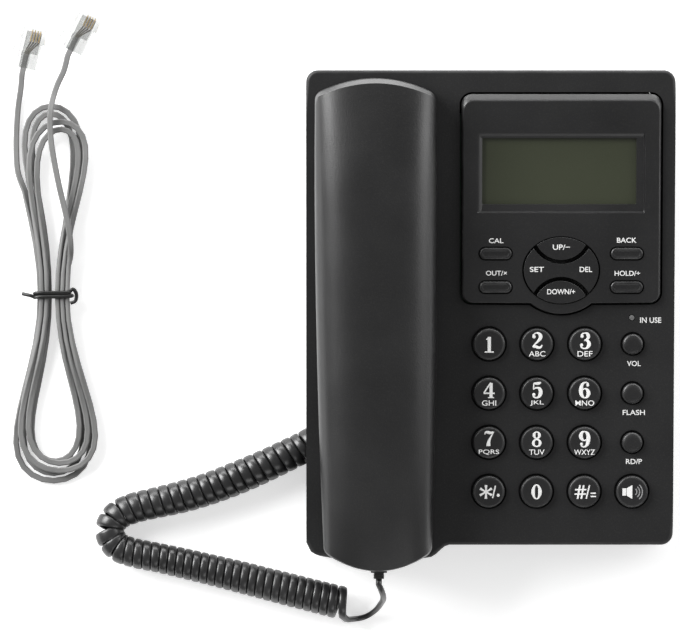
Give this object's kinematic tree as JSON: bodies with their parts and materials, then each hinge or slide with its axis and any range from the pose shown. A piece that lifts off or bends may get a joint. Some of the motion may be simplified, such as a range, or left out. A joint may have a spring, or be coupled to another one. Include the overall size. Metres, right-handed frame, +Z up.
{
  "type": "corded telephone",
  "caption": "Corded desk telephone: wedge base with key pad and sloped display panel, lift-off handset in wells, coiled handset cord, and a detached line cord tied in a hank.",
  "frame": {"origin": "on the desk under the middle of the base and handset, the cords left out", "axes": "+X to the right of the user, +Y from the user to the rear wall, +Z up"},
  "size_m": [0.2928, 0.2709, 0.0691],
  "materials": {
    "casing": "fine-grained matt black moulded ABS",
    "panel": "smooth satin black moulded ABS",
    "key": "satin black moulded key caps with white printed legends",
    "lens": "clear acrylic window over a dark olive display",
    "lcd": "liquid crystal module, unlit",
    "rubber": "moulded black rubber",
    "board": "printed circuit board",
    "steel": "plain steel",
    "lamp": "clear lamp lens, unlit",
    "cord": "black flexible PVC",
    "line": "grey flat PVC line cord with two ribs",
    "clear": "clear polycarbonate modular plug"
  },
  "bodies": {
    "base": {"top_cover": "casing", "bottom_cover": "casing", "base_screw_1": "steel", "base_screw_2": "steel", "base_screw_3": "steel", "base_screw_4": "steel", "rubber_foot_1": "rubber", "rubber_foot_2": "rubber", "rubber_foot_3": "rubber", "rubber_foot_4": "rubber", "display_bezel": "panel", "display_lens": "lens", "lcd_module": "lcd", "main_board": "board", "keypad_mat": "rubber", "in_use_lamp": "lamp", "hook_switch": "casing", "base_speaker": "steel", "ballast_plate": "steel", "line_jack": "casing", "handset_jack": "casing", "cord_plug_base": "clear", "curly_cord": "cord", "curly_cord_tail": "cord", "line_cord_hank": "line", "line_cord_tail_a": "line", "line_cord_tail_b": "line", "line_plug_a": "clear", "line_plug_b": "clear", "hank_tie": "cord"},
    "handset": {"handset_back_shell": "casing", "handset_front_shell": "casing", "receiver_capsule": "steel", "microphone_capsule": "steel", "handset_socket": "casing", "cord_plug_handset": "cord"},
    "plunger": {"hook_plunger": "casing"},
    "key_1_body": {"key_1": "key"},
    "key_2_body": {"key_2": "key"},
    "key_3_body": {"key_3": "key"},
    "key_4_body": {"key_4": "key"},
    "key_5_body": {"key_5": "key"},
    "key_6_body": {"key_6": "key"},
    "key_7_body": {"key_7": "key"},
    "key_8_body": {"key_8": "key"},
    "key_9_body": {"key_9": "key"},
    "key_star_body": {"key_star": "key"},
    "key_0_body": {"key_0": "key"},
    "key_hash_body": {"key_hash": "key"},
    "speaker_key_body": {"speaker_key": "key"},
    "volume_key_body": {"volume_key": "key"},
    "flash_key_body": {"flash_key": "key"},
    "redial_key_body": {"redial_key": "key"},
    "calc_key_body": {"calc_key": "key"},
    "out_key_body": {"out_key": "key"},
    "back_key_body": {"back_key": "key"},
    "hold_key_body": {"hold_key": "key"},
    "up_key_body": {"up_key": "key"},
    "down_key_body": {"down_key": "key"},
    "rocker": {"set_del_rocker": "key"}
  },
  "joints": [
    {"name": "handset_lift", "type": "slide", "parent": "base", "child": "handset", "axis": [0, -0.0872, 0.9962], "range_m": [0, 0.08]},
    {"name": "hook_switch_travel", "type": "slide", "parent": "base", "child": "plunger", "axis": [0, -0.0872, 0.9962], "range_m": [0, 0.004]},
    {"name": "key_1_press", "type": "slide", "parent": "base", "child": "key_1_body", "axis": [0, 0.0872, -0.9962], "range_m": [0, 0.0015], "stiffness_N_per_m": 300},
    {"name": "key_2_press", "type": "slide", "parent": "base", "child": "key_2_body", "axis": [0, 0.0872, -0.9962], "range_m": [0, 0.0015], "stiffness_N_per_m": 300},
    {"name": "key_3_press", "type": "slide", "parent": "base", "child": "key_3_body", "axis": [0, 0.0872, -0.9962], "range_m": [0, 0.0015], "stiffness_N_per_m": 300},
    {"name": "key_4_press", "type": "slide", "parent": "base", "child": "key_4_body", "axis": [0, 0.0872, -0.9962], "range_m": [0, 0.0015], "stiffness_N_per_m": 300},
    {"name": "key_5_press", "type": "slide", "parent": "base", "child": "key_5_body", "axis": [0, 0.0872, -0.9962], "range_m": [0, 0.0015], "stiffness_N_per_m": 300},
    {"name": "key_6_press", "type": "slide", "parent": "base", "child": "key_6_body", "axis": [0, 0.0872, -0.9962], "range_m": [0, 0.0015], "stiffness_N_per_m": 300},
    {"name": "key_7_press", "type": "slide", "parent": "base", "child": "key_7_body", "axis": [0, 0.0872, -0.9962], "range_m": [0, 0.0015], "stiffness_N_per_m": 300},
    {"name": "key_8_press", "type": "slide", "parent": "base", "child": "key_8_body", "axis": [0, 0.0872, -0.9962], "range_m": [0, 0.0015], "stiffness_N_per_m": 300},
    {"name": "key_9_press", "type": "slide", "parent": "base", "child": "key_9_body", "axis": [0, 0.0872, -0.9962], "range_m": [0, 0.0015], "stiffness_N_per_m": 300},
    {"name": "key_star_press", "type": "slide", "parent": "base", "child": "key_star_body", "axis": [0, 0.0872, -0.9962], "range_m": [0, 0.0015], "stiffness_N_per_m": 300},
    {"name": "key_0_press", "type": "slide", "parent": "base", "child": "key_0_body", "axis": [0, 0.0872, -0.9962], "range_m": [0, 0.0015], "stiffness_N_per_m": 300},
    {"name": "key_hash_press", "type": "slide", "parent": "base", "child": "key_hash_body", "axis": [0, 0.0872, -0.9962], "range_m": [0, 0.0015], "stiffness_N_per_m": 300},
    {"name": "speaker_key_press", "type": "slide", "parent": "base", "child": "speaker_key_body", "axis": [0, 0.0872, -0.9962], "range_m": [0, 0.0015], "stiffness_N_per_m": 300},
    {"name": "volume_key_press", "type": "slide", "parent": "base", "child": "volume_key_body", "axis": [0, 0.0872, -0.9962], "range_m": [0, 0.0015], "stiffness_N_per_m": 300},
    {"name": "flash_key_press", "type": "slide", "parent": "base", "child": "flash_key_body", "axis": [0, 0.0872, -0.9962], "range_m": [0, 0.0015], "stiffness_N_per_m": 300},
    {"name": "redial_key_press", "type": "slide", "parent": "base", "child": "redial_key_body", "axis": [0, 0.0872, -0.9962], "range_m": [0, 0.0015], "stiffness_N_per_m": 300},
    {"name": "calc_key_press", "type": "slide", "parent": "base", "child": "calc_key_body", "axis": [0, 0.0872, -0.9962], "range_m": [0, 0.0012], "stiffness_N_per_m": 300},
    {"name": "out_key_press", "type": "slide", "parent": "base", "child": "out_key_body", "axis": [0, 0.0872, -0.9962], "range_m": [0, 0.0012], "stiffness_N_per_m": 300},
    {"name": "back_key_press", "type": "slide", "parent": "base", "child": "back_key_body", "axis": [0, 0.0872, -0.9962], "range_m": [0, 0.0012], "stiffness_N_per_m": 300},
    {"name": "hold_key_press", "type": "slide", "parent": "base", "child": "hold_key_body", "axis": [0, 0.0872, -0.9962], "range_m": [0, 0.0012], "stiffness_N_per_m": 300},
    {"name": "up_key_press", "type": "slide", "parent": "base", "child": "up_key_body", "axis": [0, 0.0872, -0.9962], "range_m": [0, 0.0012], "stiffness_N_per_m": 300},
    {"name": "down_key_press", "type": "slide", "parent": "base", "child": "down_key_body", "axis": [0, 0.0872, -0.9962], "range_m": [0, 0.0012], "stiffness_N_per_m": 300},
    {"name": "set_del_tilt", "type": "hinge", "parent": "base", "child": "rocker", "pos_m": [0.0306, 0.02202, 0.04049], "axis": [0, 0.9962, 0.0872], "range_deg": [-3, 3], "stiffness_Nm_per_rad": 0.05}
  ],
  "couplings": [
    {"joint": "hook_switch_travel", "follows": "handset_lift", "ratio": 0.05}
  ]
}
